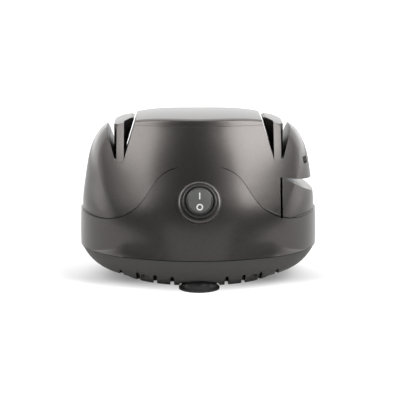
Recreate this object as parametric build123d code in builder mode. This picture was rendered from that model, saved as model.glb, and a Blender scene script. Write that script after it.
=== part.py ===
from build123d import *
from math import cos, radians, sin, sqrt, tan
import os

os.makedirs("parts", exist_ok=True)

# Electric knife sharpener with two grinding stations, a scissor notch and a
# screwdriver hole. Millimetres. +Z is up, the front with the switch faces -Y, and
# the origin is on the table under the middle of the body.

# ------------------------------------------------------------------ body shell
body_width = 160.0
body_depth = 128.0
body_height = 113.4
seam_height = 23.4
pan_clearance = 3.5
wall = 2.5
front_arc_share = 1.1
band_arc_share = 1.2
band_foot_arc_share = 1.05
pan_arc_ratio = 1.15
seam_step = 0.4
crown_radius = 250.0
crown_shoulder_share = 0.525
crown_shoulder_drop = 2.4
crown_bend_share = 0.725
crown_bend_drop = 7.6
crown_edge_share = 0.93
crown_edge_drop = 22.0
crown_skirt_share = 1.2
crown_skirt_drop = 60.0
cover_height = 6.6
cover_thickness = 2.2
cover_edge_round = 3.4

half_width = body_width / 2
half_depth = body_depth / 2
dome_rise = body_height - seam_height
cover_seam_height = body_height - cover_height
# Radius of curvature at the front of an ellipse of this width and depth.
plan_radius = half_width**2 / half_depth
front_arc_radius = front_arc_share * plan_radius
band_arc_radius = band_arc_share * plan_radius

# The dome narrows upwards. Each row: share of the rise above the seam, then the half
# width, half depth and crease position as shares of the half width and half depth.
DOME_STATIONS = [
    (0.000, 0.990, 0.990, 0.650),
    (0.296, 0.980, 0.906, 0.657),
    (0.446, 0.966, 0.836, 0.762),
    (0.651, 0.929, 0.727, 0.831),
    (0.762, 0.892, 0.661, 0.806),
    (0.884, 0.805, 0.578, 0.712),
    (1.060, 0.690, 0.480, 0.587),
]

# The lower band is smooth in plan and stands a little proud of the dome.
BAND_STATIONS = [
    (0.000, 1.000, 1.000, pan_arc_ratio * half_width),
    (0.140, 1.000, 0.960, band_foot_arc_share * plan_radius),
    (0.296, 0.994, 0.909, band_arc_radius),
    (0.446, 0.984, 0.839, band_arc_radius),
    (0.720, 0.955, 0.686, band_arc_radius),
]

# The pan is a shallow bowl. Each row: share of its height, of the half width and of
# the half depth.
PAN_STATIONS = [
    (0.000, 0.650, 0.750),
    (0.180, 0.765, 0.828),
    (0.430, 0.895, 0.914),
    (0.630, 0.944, 0.950),
    (1.000, 1.000, 1.000),
]

# The swoosh is the upper edge of the lower band, in front view.
swoosh_side_rise = 25.0
swoosh_low_x = 62.0
swoosh_low_rise = 23.6
swoosh_mid_x = 38.5
swoosh_mid_rise = 35.0
swoosh_high_x = 25.5
swoosh_high_rise = 52.5
swoosh_top_rise = 60.0

# ------------------------------------------------------------ sharpening stations
station_inset = 28.25
station_x = half_width - station_inset
slot_depth = 28.4
slot_floor_height = body_height - slot_depth
slot_lean = 17.0
post_thickness = 4.9
inner_slot_foot = 2.5
outer_slot_foot = 3.9
guide_floor = 2.0
guide_slit = 2.8
guide_bulge_reach = 4.4
guide_bulge_half_length = 10.0
guide_flare_half_length = 21.0
guide_window_length = 17.0
guide_window_height = 8.0

# ------------------------------------------------------------------- drive line
shaft_diameter = 6.0
shaft_overhang = 7.5
shaft_end_x = station_x + shaft_overhang
wheel_diameter = 62.0
wheel_rise = 9.0
shaft_height = slot_floor_height + wheel_rise - wheel_diameter / 2
wheel_thickness = 5.0
wheel_edge_bevel = 0.8
wheel_clearance = 0.7
flange_diameter = 16.0
flange_thickness = 4.0
washer_diameter = 13.0
washer_thickness = 1.0
nut_across_flats = 8.0
nut_thickness = 3.0

stator_size = 54.0
stator_corner = 9.0
stator_length = 28.0
air_gap = 0.6
rotor_diameter = 32.0
rotor_length = 27.0
rotor_slots = 12
rotor_slot_width = 1.8
rotor_slot_depth = 5.0
coil_height = 34.0
coil_leg = 6.0
coil_depth = 5.0
coil_end = 6.0
coil_offset_y = 21.0
coil_window_clearance = 0.3
winding_diameter = 27.0
winding_thickness = 6.0
commutator_diameter = 16.0
commutator_length = 10.5
commutator_groove = 0.6

bracket_gap = 13.75
bracket_start = station_x - bracket_gap
commutator_gap = 16.0
commutator_start = bracket_start - commutator_gap
bracket_thickness = 3.0
bracket_half_height = 28.5
bracket_half_depth = 27.0
bracket_hub_diameter = 20.0
bracket_window_radius = 7.0
bolt_offset = 22.0
bolt_diameter = 3.0
bolt_post_diameter = 8.0
bolt_head_diameter = 6.0
bolt_head_height = 2.4
bush_diameter = 12.0
bush_length = 8.0
bush_clearance = 0.03

fan_gap = 15.5
fan_start = bracket_start - fan_gap
fan_width = 10.0
fan_diameter = 46.0
fan_hub_diameter = 14.0
fan_plate = 1.6
fan_blades = 9
fan_blade_thickness = 1.4

brush_center_x = commutator_start + commutator_length / 2 + 0.25
brush_width = 6.0
brush_height = 4.4
brush_length = 11.0
brush_clearance = 0.15
holder_wall = 0.8
holder_gap = 1.4
holder_length = 16.0

mount_length = 28.0
mount_width = 7.5
mount_height = 7.0
mount_grip = 3.4
mount_cheek_gap = 0.5

# ----------------------------------------------------------------------- switch
switch_rise = 37.9
switch_height = seam_height + switch_rise
switch_lean = 27.0
switch_face_y = 0.89375 * half_depth
ring_diameter = 28.0
ring_round = 1.6
ring_depth = 14.0
bezel_diameter = 22.4
bezel_thickness = 1.8
bezel_round = 0.9
barrel_diameter = 20.0
barrel_length = 15.0
rocker_diameter = 18.6
rocker_face_height = 4.2
rocker_depth = 3.0
rocker_throw = 20.0
rocker_clearance = 0.25
rocker_pin_diameter = 2.4
rocker_pin_length = 0.45
rocker_pin_clearance = 0.05
rocker_edge = 0.8
rocker_well = 6.5
terminal_width = 4.8
terminal_thickness = 0.8
terminal_length = 8.0
terminal_spacing = 8.0

# ---------------------------------------------------------------- scissor notch
notch_over_shaft = 10.2
notch_apex_height = shaft_height + notch_over_shaft
notch_upper_fall = 11.0
notch_lower_fall = 30.0
block_clearance = 0.45
block_start_x = station_x + wheel_thickness / 2 + block_clearance
notch_apex_x = block_start_x
block_gap = 1.5
block_foot_drop = 15.2
block_foot_height = shaft_height - block_foot_drop
notch_roof_gap = 0.7
notch_roof_x = block_start_x + notch_roof_gap
block_top_wall = 3.0
driver_hole_y = -15.5
driver_hole_drop = 3.0
driver_hole_height = slot_floor_height - driver_hole_drop
driver_hole_width = 7.0
driver_hole_rise = 4.6

# ------------------------------------------------------------------ feet, screws
foot_diameter = 27.0
foot_height = 9.0
foot_recess_clearance = 1.2
foot_recess_height = 10.6
foot_stem_diameter = 7.0
foot_cup_depth = 3.0
foot_rim = 1.6
foot_flange = 1.2
foot_barb = 1.0
foot_front_y = -0.625 * half_depth
foot_rear_x = 0.5 * half_width
foot_rear_y = 0.34375 * half_depth
screw_x = 0.43375 * half_width
screw_y = 0.71875 * half_depth
screw_diameter = 3.0
screw_head_diameter = 6.4
screw_head_height = 2.2
screw_length = 24.0
screw_head_clearance = 0.4
screw_head_seat = 14.0
screw_boss_diameter = 8.4
screw_column_height = 42.0
vent_width = 2.4
vent_pitch = 11.2
vent_rows = 4
vent_first_x = 17.8
vent_length = 20.0
vent_reach = 0.8984375 * half_depth
vent_reach_ratio = 0.9

gland_rise = 18.6
gland_height = seam_height + gland_rise
gland_bore = 6.6
gland_diameter = 9.5
gland_flange_diameter = 14.0
gland_flange_thickness = 1.6
gland_face_y = 0.971875 * half_depth
gland_boss_depth = 8.0
gland_boss_rim = 1.2
gland_inside_length = 4.0
capacitor_width = 16.0
capacitor_depth = 9.0
capacitor_height = 14.0
capacitor_inset = 28.0
capacitor_y = half_depth - capacitor_inset

motor_mount_foot = shaft_height - bracket_half_height - mount_grip
motor_mount_top = shaft_height + bracket_half_height + mount_grip
mount_spacing = 2 * bracket_start + bracket_thickness

# =============================================================== shared profiles


def crease_depth(arc_radius, b, crease_x):
    """Half depth at which a front arc of the given radius passes the crease."""
    return b - (arc_radius - sqrt(arc_radius**2 - crease_x**2))


def dome_section(height, a, b, crease_x):
    """Plan outline with a flat front arc, a crease and a rounder side arc."""
    crease_y = crease_depth(front_arc_radius, b, crease_x)
    with BuildSketch(Plane.XY.offset(height)) as section:
        with BuildLine():
            ThreePointArc((-crease_x, -crease_y), (0, -b), (crease_x, -crease_y))
            ThreePointArc((crease_x, -crease_y), (a, 0), (crease_x, crease_y))
            ThreePointArc((crease_x, crease_y), (0, b), (-crease_x, crease_y))
            ThreePointArc((-crease_x, crease_y), (-a, 0), (-crease_x, -crease_y))
        make_face()
    return section.sketch


def arc_join(a, b, arc_radius):
    """Where the flat arc across the short half axis b meets the tight arc across a."""
    side_radius = (arc_radius**2 - a**2 - (arc_radius - b) ** 2) / (2 * (arc_radius - a))
    run = a - side_radius
    fall = arc_radius - b
    span = sqrt(run**2 + fall**2)
    return arc_radius * run / span, arc_radius * fall / span - fall


def oval_section(height, a, b, arc_radius):
    """Plan outline of four tangent arcs, with the flat ones on the longer sides."""
    if a > b:
        join_x, join_y = arc_join(a, b, arc_radius)
    else:
        join_y, join_x = arc_join(b, a, arc_radius * b / a)
    with BuildSketch(Plane.XY.offset(height)) as section:
        with BuildLine():
            ThreePointArc((-join_x, -join_y), (0, -b), (join_x, -join_y))
            ThreePointArc((join_x, -join_y), (a, 0), (join_x, join_y))
            ThreePointArc((join_x, join_y), (0, b), (-join_x, join_y))
            ThreePointArc((-join_x, join_y), (-a, 0), (-join_x, -join_y))
        make_face()
    return section.sketch


def dome_sections(inset):
    """The dome's plan outlines, moved inwards by a wall."""
    return [
        dome_section(
            seam_height + share * dome_rise,
            a * half_width - inset,
            b * half_depth - inset,
            crease * half_width - inset,
        )
        for share, a, b, crease in DOME_STATIONS
    ]


def crown_profile():
    """Front view of the crowned top, down to the axis that it turns about."""
    edge_x = crown_edge_share * half_width
    bend_x = crown_bend_share * half_width
    shoulder_x = crown_shoulder_share * half_width
    skirt_x = crown_skirt_share * half_width
    axis_height = body_height - crown_radius
    with BuildSketch(Plane.XZ) as profile:
        with BuildLine():
            Spline(
                (-edge_x, body_height - crown_edge_drop),
                (-bend_x, body_height - crown_bend_drop),
                (-shoulder_x, body_height - crown_shoulder_drop),
                (0, body_height),
                (shoulder_x, body_height - crown_shoulder_drop),
                (bend_x, body_height - crown_bend_drop),
                (edge_x, body_height - crown_edge_drop),
            )
            Polyline(
                (edge_x, body_height - crown_edge_drop),
                (skirt_x, body_height - crown_skirt_drop),
                (skirt_x, axis_height),
                (-skirt_x, axis_height),
                (-skirt_x, body_height - crown_skirt_drop),
                (-edge_x, body_height - crown_edge_drop),
            )
        make_face()
    return profile.sketch


def front_profile(*points):
    """Closed front-view outline through the given points."""
    with BuildSketch(Plane.XZ) as profile:
        with BuildLine():
            Polyline(*points, close=True)
        make_face()
    return profile.sketch


def channel_profile(side, floor, spread):
    """Front view of a sharpening channel: a floor and two flanks that lean apart."""
    top = body_height + 10
    rise = top - floor
    below = slot_floor_height - floor
    flare = tan(radians(slot_lean))
    inner_foot = station_x - inner_slot_foot + below * flare - spread
    outer_foot = station_x + outer_slot_foot - below * flare + spread
    return front_profile(
        (side * inner_foot, floor),
        (side * outer_foot, floor),
        (side * (outer_foot + rise * flare), top),
        (side * (inner_foot - rise * flare), top),
    )


def notch_upper(x):
    """Height of the scissor notch's upper face, which falls gently outwards."""
    return notch_apex_height - (x - notch_apex_x) * tan(radians(notch_upper_fall))


def notch_lower(x):
    """Height of the scissor notch's lower face, the slanted top of the block."""
    return notch_apex_height - (x - notch_apex_x) * tan(radians(notch_lower_fall))


def swoosh_region():
    """Front view of everything below the swoosh-shaped step of the lower band."""
    side = 1.1 * half_width
    with BuildSketch(Plane.XZ) as region:
        with BuildLine():
            Spline(
                (-side, seam_height + swoosh_side_rise),
                (-swoosh_low_x, seam_height + swoosh_low_rise),
                (-swoosh_mid_x, seam_height + swoosh_mid_rise),
                (-swoosh_high_x, seam_height + swoosh_high_rise),
                (0, seam_height + swoosh_top_rise),
                (swoosh_high_x, seam_height + swoosh_high_rise),
                (swoosh_mid_x, seam_height + swoosh_mid_rise),
                (swoosh_low_x, seam_height + swoosh_low_rise),
                (side, seam_height + swoosh_side_rise),
                tangents=[(1, 0), (1, 0)],
            )
            Polyline(
                (side, seam_height + swoosh_side_rise),
                (side, seam_height - 1),
                (-side, seam_height - 1),
                (-side, seam_height + swoosh_side_rise),
            )
        make_face()
    return region.sketch


def both_ways(sketch, reach):
    """Solid of a front-view or side-view profile, extruded to both sides."""
    with BuildPart() as prism:
        extrude(sketch, amount=reach, both=True)
    return prism.part


def disc(center_x, radius, thickness, height):
    """Solid disc that turns about an axis along X."""
    with BuildPart() as form:
        with BuildSketch(Plane.YZ.offset(center_x - thickness / 2)):
            with Locations((0, height)):
                Circle(radius)
        extrude(amount=thickness)
    return form.part


# ================================================================= body forms

# The outer form of the whole upper body: a dome cut off by a crowned top.
with BuildPart() as crown_form:
    revolve(crown_profile(), axis=Axis((0, 0, body_height - crown_radius), (1, 0, 0)))

with BuildPart() as outer_form:
    loft(sections=dome_sections(0))
    add(crown_form.part, mode=Mode.INTERSECT)

with BuildPart() as inner_form:
    loft(sections=dome_sections(wall))
    split(bisect_by=Plane.XY.offset(cover_seam_height - wall), keep=Keep.BOTTOM)

with BuildPart() as band_form:
    loft(
        sections=[
            oval_section(seam_height + share * dome_rise, a * half_width, b * half_depth, arc)
            for share, a, b, arc in BAND_STATIONS
        ]
    )
    add(both_ways(swoosh_region(), body_depth), mode=Mode.INTERSECT)

switch_plane = Plane(
    origin=(0, -switch_face_y, switch_height),
    x_dir=(1, 0, 0),
    z_dir=(0, -cos(radians(switch_lean)), sin(radians(switch_lean))),
)

# ============================================================== upper housing

channel_floor = slot_floor_height - guide_floor
wheel_radius = wheel_diameter / 2
outer_reach = half_width + 2

# Columns for the housing screws, each tied to the outer wall by a rib.
with BuildPart() as screw_columns:
    with BuildSketch(Plane.XY.offset(seam_height)):
        with GridLocations(2 * screw_x, 2 * screw_y, 2, 2):
            Circle(screw_boss_diameter / 2)
        with GridLocations(2 * screw_x, screw_y + half_depth, 2, 2):
            Rectangle(wall, half_depth - screw_y)
    extrude(amount=screw_column_height)
    add(outer_form.part, mode=Mode.INTERSECT)

with BuildPart() as housing_cavity:
    add(inner_form.part)
    for side in (-1, 1):
        add(
            both_ways(channel_profile(side, channel_floor - wall, wall), body_depth),
            mode=Mode.SUBTRACT,
        )
    # The roof over the scissor notch is left standing.
    notch_roof = front_profile(
        (notch_roof_x, notch_upper(notch_roof_x)),
        (half_width, notch_upper(half_width)),
        (half_width, notch_upper(half_width) + wall),
        (notch_roof_x, notch_upper(notch_roof_x) + wall),
    )
    add(both_ways(notch_roof, body_depth), mode=Mode.SUBTRACT)

# Raised ring that the switch sits in.
with BuildPart() as switch_ring:
    with BuildSketch(switch_plane):
        Circle(ring_diameter / 2)
    extrude(amount=-ring_depth)
    fillet(switch_ring.edges().sort_by(Axis((0, 0, 0), switch_plane.z_dir))[-1], ring_round)

with BuildPart() as upper_housing:
    add(outer_form.part)
    add(band_form.part)
    add(switch_ring.part)
    # Flat boss for the cord gland in the back wall.
    with BuildSketch(Plane.XZ.offset(-gland_face_y)):
        with Locations((0, gland_height)):
            Circle(gland_flange_diameter / 2 + gland_boss_rim)
    extrude(amount=gland_boss_depth)
    add(housing_cavity.part, mode=Mode.SUBTRACT)
    add(screw_columns.part)
    # Ribs that press the upper motor mounts down.
    with BuildSketch(Plane.XY.offset(cover_seam_height - wall)):
        with GridLocations(mount_spacing, 1, 2, 1):
            Rectangle(mount_width, mount_length / 2)
    extrude(amount=-(cover_seam_height - wall - motor_mount_top))
    # Seat of the top cover.
    with BuildSketch(Plane.XY.offset(cover_seam_height)):
        Rectangle(2 * station_x, 2 * body_depth)
    extrude(amount=body_height, mode=Mode.SUBTRACT)
    # Sharpening channels, and the slots that the wheels stand up through.
    for side in (-1, 1):
        add(both_ways(channel_profile(side, channel_floor, 0), body_depth), mode=Mode.SUBTRACT)
        add(
            disc(side * station_x, wheel_radius + 2 * wheel_clearance,
                 wheel_thickness + 4 * wheel_clearance, shaft_height),
            mode=Mode.SUBTRACT,
        )
    # Opening for the scissor block, and the notch above it.
    gap_x = block_start_x - block_gap
    block_opening = front_profile(
        (gap_x, block_foot_height),
        (outer_reach, block_foot_height),
        (outer_reach, notch_upper(outer_reach)),
        (notch_apex_x, notch_apex_height),
        (gap_x, notch_apex_height),
    )
    add(both_ways(block_opening, body_depth), mode=Mode.SUBTRACT)
    # Screwdriver hole through the right wing.
    with BuildSketch(Plane.YZ.offset(station_x)):
        with Locations((driver_hole_y, driver_hole_height)):
            Rectangle(driver_hole_width, driver_hole_rise)
    extrude(amount=half_width, mode=Mode.SUBTRACT)
    # Switch hole, cord hole and screw pilots.
    with BuildSketch(switch_plane.offset(1)):
        Circle(barrel_diameter / 2)
    extrude(amount=-2 * ring_depth, mode=Mode.SUBTRACT)
    with BuildSketch(Plane.XZ.offset(-gland_face_y - 1)):
        with Locations((0, gland_height)):
            Circle(gland_diameter / 2)
    extrude(amount=2 * gland_boss_depth, mode=Mode.SUBTRACT)
    with BuildSketch(Plane.XY.offset(seam_height)):
        with GridLocations(2 * screw_x, 2 * screw_y, 2, 2):
            Circle(screw_diameter / 2)
    extrude(amount=screw_length, mode=Mode.SUBTRACT)
upper_housing.part.label = "upper_housing"
export_step(upper_housing.part, "parts/upper_housing.step")

# ================================================================== top cover

cover_rise = cover_seam_height - slot_floor_height
inner_flank_x = station_x - inner_slot_foot - cover_rise * tan(radians(slot_lean))

with BuildPart() as top_cover:
    add(outer_form.part)
    with BuildSketch(Plane.XY.offset(cover_seam_height)):
        Rectangle(2 * station_x, 2 * body_depth)
    extrude(amount=body_height, mode=Mode.INTERSECT)
    for side in (-1, 1):
        add(both_ways(channel_profile(side, channel_floor, 0), body_depth), mode=Mode.SUBTRACT)
    split(bisect_by=Plane.YZ.offset(station_x - inner_slot_foot), keep=Keep.BOTTOM)
    split(bisect_by=Plane.YZ.offset(inner_slot_foot - station_x), keep=Keep.TOP)
    crown_face = top_cover.faces().sort_by(Axis.Z)[-1]
    round_edges = [edge for edge in crown_face.edges() if abs(edge.center().Y) > half_depth / 5]
    fillet(round_edges, cover_edge_round)
    # Hollow underside and two locating ribs.
    with BuildSketch(Plane.XY.offset(cover_seam_height)):
        RectangleRounded(
            2 * inner_flank_x - 6 * cover_thickness,
            half_depth - 4 * cover_thickness,
            cover_edge_round,
        )
    extrude(amount=cover_thickness, mode=Mode.SUBTRACT)
top_cover.part.label = "top_cover"
export_step(top_cover.part, "parts/top_cover.step")

# =============================================================== knife guides


def knife_guide(side):
    """Post that splits a channel in two V slots, with windows on the wheel."""
    post_x = side * station_x
    bulge_out = station_x + guide_bulge_reach
    flare = tan(radians(slot_lean))
    foot_x = station_x - inner_slot_foot + guide_slit
    top = body_height + 1
    with BuildPart() as bulge:
        bulge_outline = front_profile(
            (side * foot_x, slot_floor_height),
            (side * bulge_out, slot_floor_height),
            (side * bulge_out, top),
            (side * (foot_x - (top - slot_floor_height) * flare), top),
        )
        extrude(bulge_outline, amount=body_depth, both=True)
        with BuildSketch(Plane.XY.offset(slot_floor_height), mode=Mode.PRIVATE) as plan:
            with BuildLine():
                Polyline(
                    (post_x, -guide_flare_half_length),
                    (post_x + 2 * guide_bulge_reach, -guide_bulge_half_length),
                    (post_x + 2 * guide_bulge_reach, guide_bulge_half_length),
                    (post_x, guide_flare_half_length),
                    (post_x - 2 * guide_bulge_reach, guide_bulge_half_length),
                    (post_x - 2 * guide_bulge_reach, -guide_bulge_half_length),
                    close=True,
                )
            make_face()
        extrude(plan.sketch, amount=body_height, mode=Mode.INTERSECT)
    with BuildPart() as floor_plate:
        add(both_ways(channel_profile(side, channel_floor, 0), body_depth))
        split(bisect_by=Plane.XY.offset(slot_floor_height), keep=Keep.BOTTOM)
    with BuildPart() as guide:
        with BuildSketch(Plane.XY.offset(channel_floor)):
            with Locations((post_x, 0)):
                Rectangle(post_thickness, 2 * body_depth)
        extrude(amount=body_height)
        add(bulge.part)
        add(floor_plate.part)
        add(both_ways(channel_profile(side, channel_floor, 0), body_depth), mode=Mode.INTERSECT)
        add(outer_form.part, mode=Mode.INTERSECT)
        add(
            disc(post_x, wheel_radius + wheel_clearance, wheel_thickness + 2 * wheel_clearance, shaft_height),
            mode=Mode.SUBTRACT,
        )
        # Window on the wheel in the outer flank.
        with BuildSketch(Plane.YZ.offset(post_x)):
            with Locations((0, slot_floor_height + guide_floor + guide_window_height / 2)):
                Rectangle(guide_window_length, guide_window_height)
        extrude(amount=side * 2 * guide_bulge_reach, mode=Mode.SUBTRACT)
        if side > 0:
            with BuildSketch(Plane.YZ.offset(post_x)):
                with Locations((driver_hole_y, driver_hole_height)):
                    Rectangle(driver_hole_width, driver_hole_rise)
            extrude(amount=half_width, mode=Mode.SUBTRACT)
    return guide


for side_name, side in (("left", -1), ("right", 1)):
    guide = knife_guide(side)
    guide.part.label = side_name + "_knife_guide"
    export_step(guide.part, "parts/" + guide.part.label + ".step")

# =============================================================== scissor block

with BuildPart() as block_hollow:
    add(inner_form.part)
    hollow_outline = front_profile(
        (block_start_x - wall, block_foot_height + wall),
        (outer_reach, block_foot_height + wall),
        (outer_reach, notch_lower(outer_reach) - block_top_wall),
        (block_start_x - wall, notch_lower(block_start_x - wall) - block_top_wall),
    )
    add(both_ways(hollow_outline, body_depth), mode=Mode.INTERSECT)

with BuildPart() as scissor_block:
    add(outer_form.part)
    block_outline = front_profile(
        (block_start_x, block_foot_height),
        (outer_reach, block_foot_height),
        (outer_reach, notch_lower(outer_reach)),
        (block_start_x, notch_lower(block_start_x)),
    )
    add(both_ways(block_outline, body_depth), mode=Mode.INTERSECT)
    add(block_hollow.part, mode=Mode.SUBTRACT)
    # Clearance for the wheel's outer washer, nut and shaft end.
    with BuildSketch(Plane.YZ.offset(block_start_x - wall)):
        with Locations((0, shaft_height)):
            Circle(washer_diameter / 2 + wheel_clearance)
    extrude(amount=shaft_end_x + wall - block_start_x + wheel_clearance, mode=Mode.SUBTRACT)
scissor_block.part.label = "scissor_block"
export_step(scissor_block.part, "parts/scissor_block.step")

# ==================================================================== base pan


def pan_sections(inset, lift):
    """The bowl's plan outlines, moved inwards by a wall and up by its floor."""
    pan_height = seam_height - pan_clearance
    sections = []
    for share, a, b in PAN_STATIONS:
        section_a = a * (half_width - seam_step) - inset
        section_b = b * (half_depth - seam_step) - inset
        height = pan_clearance + share * pan_height + lift * (1.1 - share)
        sections.append(oval_section(height, section_a, section_b, pan_arc_ratio * section_a))
    return sections


foot_places = [(0, foot_front_y), (-foot_rear_x, foot_rear_y), (foot_rear_x, foot_rear_y)]
recess_radius = foot_diameter / 2 + foot_recess_clearance

with BuildPart() as pan_form:
    loft(sections=pan_sections(0, 0))

with BuildPart() as pan_cavity:
    loft(sections=pan_sections(wall, wall))

with BuildPart() as pan_bosses:
    # Domes over the foot recesses and columns for the housing screws.
    with BuildSketch(Plane.XY):
        with Locations(*foot_places):
            Circle(recess_radius + wall)
    extrude(amount=foot_recess_height + wall)
    with BuildSketch(Plane.XY):
        with GridLocations(2 * screw_x, 2 * screw_y, 2, 2):
            Circle(screw_boss_diameter / 2)
    extrude(amount=seam_height)
    # Pedestals under the motor.
    with BuildSketch(Plane.XY):
        with GridLocations(mount_spacing, 1, 2, 1):
            Rectangle(mount_width + 2 * wall, mount_length + 2 * wall)
    extrude(amount=seam_height)
    add(pan_form.part, mode=Mode.INTERSECT)

with BuildPart() as base_pan:
    add(pan_form.part)
    add(pan_cavity.part, mode=Mode.SUBTRACT)
    add(pan_bosses.part)
    with BuildSketch(Plane.XY.offset(seam_height)):
        with GridLocations(mount_spacing, 1, 2, 1):
            Rectangle(mount_width + 2 * wall, mount_length + 2 * wall)
    extrude(amount=motor_mount_foot - seam_height)
    with BuildSketch(Plane.XY.offset(motor_mount_foot)):
        with GridLocations(mount_spacing, 1, 2, 1):
            Rectangle(mount_width + 2 * wall, mount_length + 2 * wall)
            Rectangle(mount_width, mount_length, mode=Mode.SUBTRACT)
    extrude(amount=mount_grip - mount_cheek_gap)
    # Foot recesses with their stem holes.
    with BuildSketch(Plane.XY):
        with Locations(*foot_places):
            Circle(recess_radius)
    extrude(amount=foot_recess_height, mode=Mode.SUBTRACT)
    with BuildSketch(Plane.XY):
        with Locations(*foot_places):
            Circle(foot_stem_diameter / 2)
    extrude(amount=foot_recess_height + 2 * wall, mode=Mode.SUBTRACT)
    # Counterbored holes for the housing screws.
    with BuildSketch(Plane.XY):
        with GridLocations(2 * screw_x, 2 * screw_y, 2, 2):
            Circle(screw_head_diameter / 2 + screw_head_clearance)
    extrude(amount=screw_head_seat, mode=Mode.SUBTRACT)
    with BuildSketch(Plane.XY):
        with GridLocations(2 * screw_x, 2 * screw_y, 2, 2):
            Circle(screw_diameter / 2 + screw_head_clearance / 2)
    extrude(amount=seam_height, mode=Mode.SUBTRACT)
    # Vent slots in the front and back of the bowl.
    for row in range(vent_rows):
        vent_x = vent_first_x + row * vent_pitch
        vent_end = vent_reach * sqrt(1 - (vent_x / (half_width * vent_reach_ratio)) ** 2)
        with BuildSketch(Plane.XY):
            with GridLocations(2 * vent_x, 2 * vent_end - vent_length, 2, 2):
                SlotOverall(vent_length, vent_width, rotation=90)
        extrude(amount=seam_height - 2 * wall, mode=Mode.SUBTRACT)
base_pan.part.label = "base_pan"
export_step(base_pan.part, "parts/base_pan.step")

# ======================================================= feet, screws, gland

foot_radius = foot_diameter / 2
stem_radius = foot_stem_diameter / 2
stem_top = foot_recess_height + wall
foot_names = ("front_foot", "rear_left_foot", "rear_right_foot")
for foot_name, (foot_x, foot_y) in zip(foot_names, foot_places):
    with BuildPart() as foot:
        with BuildSketch(Plane(origin=(foot_x, foot_y, 0), x_dir=(1, 0, 0), z_dir=(0, -1, 0))):
            with BuildLine():
                Polyline(
                    (0, foot_cup_depth),
                    (foot_radius - foot_rim, foot_cup_depth / 3),
                    (foot_radius - foot_rim / 2, 0),
                    (foot_radius, 0),
                    (foot_radius, foot_flange),
                    (foot_radius - foot_rim, foot_flange + 0.4),
                )
                ThreePointArc(
                    (foot_radius - foot_rim, foot_flange + 0.4),
                    (0.78 * foot_radius, 0.7 * foot_height),
                    (0.5 * foot_radius, foot_height),
                )
                Polyline(
                    (0.5 * foot_radius, foot_height),
                    (0.5 * foot_radius, foot_recess_height),
                    (stem_radius, foot_recess_height),
                    (stem_radius, stem_top),
                    (stem_radius + foot_barb, stem_top),
                    (stem_radius, stem_top + 2 * foot_barb),
                    (0, stem_top + 2 * foot_barb),
                    (0, foot_cup_depth),
                )
            make_face()
        revolve(axis=Axis((foot_x, foot_y, 0), (0, 0, 1)))
    foot.part.label = foot_name
    export_step(foot.part, "parts/" + foot_name + ".step")

with BuildPart() as housing_screws:
    with BuildSketch(Plane.XY.offset(screw_head_seat - screw_head_height)):
        with GridLocations(2 * screw_x, 2 * screw_y, 2, 2):
            Circle(screw_head_diameter / 2)
    extrude(amount=screw_head_height)
    with BuildSketch(Plane.XY.offset(screw_head_seat)):
        with GridLocations(2 * screw_x, 2 * screw_y, 2, 2):
            Circle(screw_diameter / 2)
    extrude(amount=screw_length)
housing_screws.part.label = "housing_screws"
export_step(housing_screws.part, "parts/housing_screws.step")

with BuildPart() as cord_gland:
    with BuildSketch(Plane.XZ.offset(-gland_face_y)):
        with Locations((0, gland_height)):
            Circle(gland_flange_diameter / 2)
    extrude(amount=-gland_flange_thickness)
    fillet(cord_gland.faces().sort_by(Axis.Y)[-1].edges(), gland_flange_thickness / 2)
    with BuildSketch(Plane.XZ.offset(-gland_face_y)):
        with Locations((0, gland_height)):
            Circle(gland_diameter / 2)
    extrude(amount=gland_boss_depth + gland_inside_length)
    with BuildSketch(Plane.XZ.offset(-gland_face_y - 2 * gland_flange_thickness)):
        with Locations((0, gland_height)):
            Circle(gland_bore / 2)
    extrude(amount=4 * gland_boss_depth, mode=Mode.SUBTRACT)
cord_gland.part.label = "cord_gland"
export_step(cord_gland.part, "parts/cord_gland.step")

# ====================================================================== switch

with BuildPart() as switch_body:
    with BuildSketch(switch_plane):
        Circle(bezel_diameter / 2)
    extrude(amount=bezel_thickness)
    fillet(switch_body.edges().sort_by(Axis((0, 0, 0), switch_plane.z_dir))[-1], bezel_round)
    with BuildSketch(switch_plane):
        Circle(barrel_diameter / 2)
    extrude(amount=-barrel_length)
    with BuildSketch(switch_plane.offset(bezel_thickness)):
        Circle(rocker_diameter / 2 + rocker_clearance)
    extrude(amount=-(bezel_thickness + rocker_well), mode=Mode.SUBTRACT)
    # Bearing holes for the rocker's pins.
    with BuildSketch(Plane(origin=switch_plane.origin, z_dir=(1, 0, 0))):
        Circle(rocker_pin_diameter / 2 + rocker_pin_clearance)
    pin_reach = rocker_diameter / 2 + rocker_pin_length + rocker_pin_clearance
    extrude(amount=pin_reach, both=True, mode=Mode.SUBTRACT)
switch_body.part.label = "switch_body"
export_step(switch_body.part, "parts/switch_body.step")

# The rocker rests with its lower side pressed in, which is off.
rocker_plane = switch_plane.rotated((rocker_throw / 2, 0, 0))
with BuildPart() as switch_rocker:
    with Locations(switch_plane.origin):
        Sphere(rocker_diameter / 2)
    split(bisect_by=rocker_plane.offset(rocker_face_height), keep=Keep.BOTTOM)
    split(bisect_by=rocker_plane.offset(-rocker_depth), keep=Keep.TOP)
    rocker_face = switch_rocker.faces().sort_by(Axis((0, 0, 0), rocker_plane.z_dir))[-1]
    chamfer(rocker_face.edges(), rocker_edge)
    with BuildSketch(Plane(origin=switch_plane.origin, z_dir=(1, 0, 0))):
        Circle(rocker_pin_diameter / 2)
    extrude(amount=rocker_diameter / 2 + rocker_pin_length, both=True)
switch_rocker.part.label = "switch_rocker"
export_step(switch_rocker.part, "parts/switch_rocker.step")

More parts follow.
